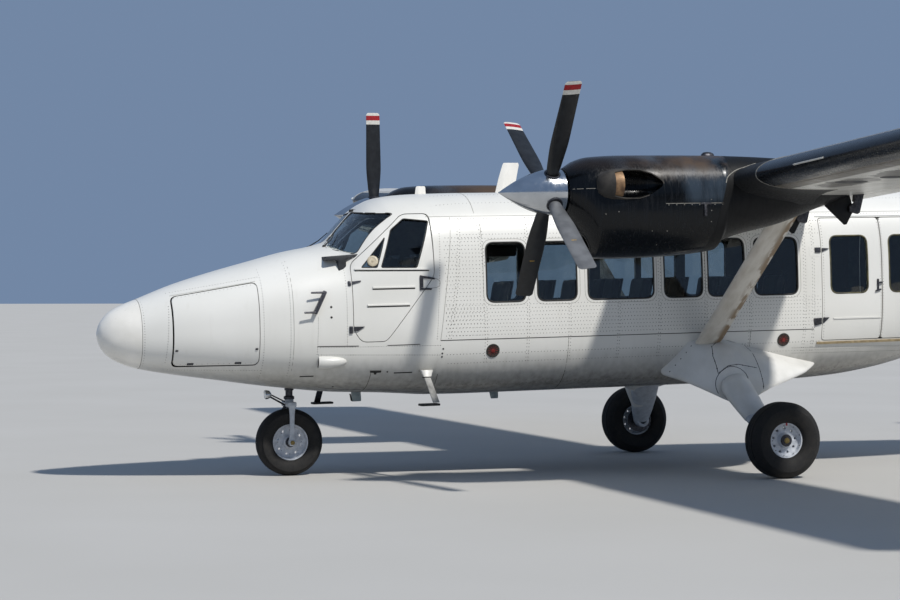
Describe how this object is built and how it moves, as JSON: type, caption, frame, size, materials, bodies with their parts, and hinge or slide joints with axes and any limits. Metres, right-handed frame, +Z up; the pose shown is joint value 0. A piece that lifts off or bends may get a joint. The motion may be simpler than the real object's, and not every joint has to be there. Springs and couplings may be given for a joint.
{
  "type": "twin turboprop airliner",
  "caption": "High-wing strut-braced commuter airliner with wing-mounted turboprops, fixed tricycle gear, crew doors, double cargo door, baggage doors and working flight controls.",
  "frame": {"origin": "middle of the bounding box on the ground under the wheels", "axes": "+X towards the nose, +Y to port, +Z up; the airframe stands 1.38 degrees nose down on its wheels"},
  "size_m": [15.7597, 19.81, 5.9413],
  "materials": {
    "white_paint": "gloss",
    "radome_paint": "satin",
    "nacelle_paint": "gloss",
    "cockpit_glass": "gloss",
    "panel_plastic": "matte",
    "seat_fabric": "matte",
    "tyre": "matte",
    "wheel_paint": "satin",
    "gear_paint": "satin",
    "blade_paint": "satin",
    "spinner_metal": "polished",
    "engine_metal": "matte"
  },
  "bodies": {
    "airframe": {"cabin_floor": "white_paint", "cabin_roof": "white_paint", "cabin_wall_left": "white_paint", "cabin_wall_right": "white_paint", "nose_cone": "radome_paint", "nose_section": "white_paint", "cockpit_shell": "white_paint", "windscreen_left": "cockpit_glass", "windscreen_right": "cockpit_glass", "instrument_panel": "panel_plastic", "crew_seats": "seat_fabric", "cabin_seats_left": "seat_fabric", "cabin_seats_right": "seat_fabric", "aft_bay": "white_paint", "tail_cone": "white_paint", "fin": "white_paint", "tailplane": "white_paint", "wing_left": "white_paint", "wing_right": "white_paint", "wing_strut_left": "white_paint", "wing_strut_right": "white_paint", "gear_fairing_left": "white_paint", "gear_fairing_right": "white_paint", "nacelle_left": "nacelle_paint", "nacelle_right": "nacelle_paint", "nacelle_tail_left": "nacelle_paint", "nacelle_tail_right": "nacelle_paint", "engine_left": "engine_metal", "engine_right": "engine_metal", "main_leg_left": "gear_paint", "main_leg_right": "gear_paint", "nose_strut": "gear_paint"},
    "nose_door": {"nose_baggage_door": "white_paint"},
    "crew_door_left": {"crew_door_left": "white_paint", "crew_door_glass_left": "cockpit_glass"},
    "crew_door_right": {"crew_door_right": "white_paint", "crew_door_glass_right": "cockpit_glass"},
    "rear_door_front": {"rear_door_front_leaf": "white_paint"},
    "rear_door_back": {"rear_door_back_leaf": "white_paint"},
    "right_door": {"right_cabin_door": "white_paint"},
    "aft_door": {"aft_baggage_door": "white_paint"},
    "rudder": {"rudder": "white_paint"},
    "elevator": {"elevator_left": "white_paint", "elevator_right": "white_paint"},
    "flap_left": {"flap_left": "white_paint"},
    "flap_right": {"flap_right": "white_paint"},
    "aileron_left": {"aileron_left": "white_paint"},
    "aileron_right": {"aileron_right": "white_paint"},
    "propeller_left": {"blades_left": "blade_paint", "spinner_left": "spinner_metal"},
    "propeller_right": {"blades_right": "blade_paint", "spinner_right": "spinner_metal"},
    "nose_leg": {"nose_fork": "gear_paint"},
    "nose_wheel": {"nose_tyre": "tyre", "nose_wheel": "wheel_paint"},
    "main_wheel_left": {"main_tyre_left": "tyre", "main_wheel_left": "wheel_paint"},
    "main_wheel_right": {"main_tyre_right": "tyre", "main_wheel_right": "wheel_paint"}
  },
  "joints": [
    {"name": "propeller_left_spin", "type": "hinge", "parent": "airframe", "child": "propeller_left", "pos_m": [4.25653, 2.812, 2.72857], "axis": [0.9997, 0, -0.0241], "continuous": true},
    {"name": "propeller_right_spin", "type": "hinge", "parent": "airframe", "child": "propeller_right", "pos_m": [4.25653, -2.812, 2.72857], "axis": [0.9997, 0, -0.0241], "continuous": true},
    {"name": "nose_steering", "type": "hinge", "parent": "airframe", "child": "nose_leg", "pos_m": [5.957, 0, 0.762], "axis": [0, 0, 1], "range_deg": [-60, 60]},
    {"name": "nose_wheel_spin", "type": "hinge", "parent": "nose_leg", "child": "nose_wheel", "pos_m": [5.957, 0, 0.334], "axis": [0, 1, 0], "continuous": true},
    {"name": "main_wheel_left_spin", "type": "hinge", "parent": "airframe", "child": "main_wheel_left", "pos_m": [1.424, 1.855, 0.376], "axis": [0, 1, 0], "continuous": true},
    {"name": "main_wheel_right_spin", "type": "hinge", "parent": "airframe", "child": "main_wheel_right", "pos_m": [1.424, -1.855, 0.376], "axis": [0, 1, 0], "continuous": true},
    {"name": "crew_door_left_hinge", "type": "hinge", "parent": "airframe", "child": "crew_door_left", "pos_m": [5.54017, 0.868, 1.70136], "axis": [-0.0241, 0, -0.9997], "range_deg": [0, 75]},
    {"name": "crew_door_right_hinge", "type": "hinge", "parent": "airframe", "child": "crew_door_right", "pos_m": [5.54017, -0.868, 1.70136], "axis": [0.0241, 0, 0.9997], "range_deg": [0, 75]},
    {"name": "rear_door_front_hinge", "type": "hinge", "parent": "airframe", "child": "rear_door_front", "pos_m": [0.46805, 0.892, 1.92358], "axis": [-0.0241, 0, -0.9997], "range_deg": [0, 90]},
    {"name": "rear_door_back_hinge", "type": "hinge", "parent": "airframe", "child": "rear_door_back", "pos_m": [-0.94754, 0.875, 1.95768], "axis": [0.0241, 0, 0.9997], "range_deg": [0, 90]},
    {"name": "right_door_hinge", "type": "hinge", "parent": "airframe", "child": "right_door", "pos_m": [-0.17177, -0.89, 1.93899], "axis": [0.0241, 0, 0.9997], "range_deg": [0, 90]},
    {"name": "aft_door_hinge", "type": "hinge", "parent": "airframe", "child": "aft_door", "pos_m": [-1.23946, 0.866, 1.96471], "axis": [-0.0241, 0, -0.9997], "range_deg": [0, 100]},
    {"name": "nose_door_hinge", "type": "hinge", "parent": "airframe", "child": "nose_door", "pos_m": [6.49203, 0.59024, 1.93322], "axis": [0.9402, -0.2945, -0.1714], "range_deg": [0, 95]},
    {"name": "flap_left_hinge", "type": "hinge", "parent": "airframe", "child": "flap_left", "pos_m": [1.20302, 3.7, 2.66084], "axis": [-0.0013, -0.9986, -0.0523], "range_deg": [0, 37.5]},
    {"name": "flap_right_hinge", "type": "hinge", "parent": "airframe", "child": "flap_right", "pos_m": [1.20302, -3.7, 2.66084], "axis": [0.0013, -0.9986, 0.0523], "range_deg": [0, 37.5]},
    {"name": "aileron_left_hinge", "type": "hinge", "parent": "airframe", "child": "aileron_left", "pos_m": [0.96838, 7.8, 3.09379], "axis": [-0.0013, -0.9986, -0.0523], "range_deg": [-20, 20]},
    {"name": "aileron_right_hinge", "type": "hinge", "parent": "airframe", "child": "aileron_right", "pos_m": [0.96838, -7.8, 3.09379], "axis": [0.0013, -0.9986, 0.0523], "range_deg": [-20, 20]},
    {"name": "elevator_hinge", "type": "hinge", "parent": "airframe", "child": "elevator", "pos_m": [-6.37352, 0, 3.51881], "axis": [0, -1, 0], "range_deg": [-26, 14]},
    {"name": "rudder_hinge", "type": "hinge", "parent": "airframe", "child": "rudder", "pos_m": [-6.85518, 0, 2.62515], "axis": [-0.0035, 0, 1], "range_deg": [-30, 30]}
  ],
  "couplings": [
    {"joint": "flap_right_hinge", "follows": "flap_left_hinge", "ratio": 1},
    {"joint": "aileron_right_hinge", "follows": "aileron_left_hinge", "ratio": -1}
  ]
}
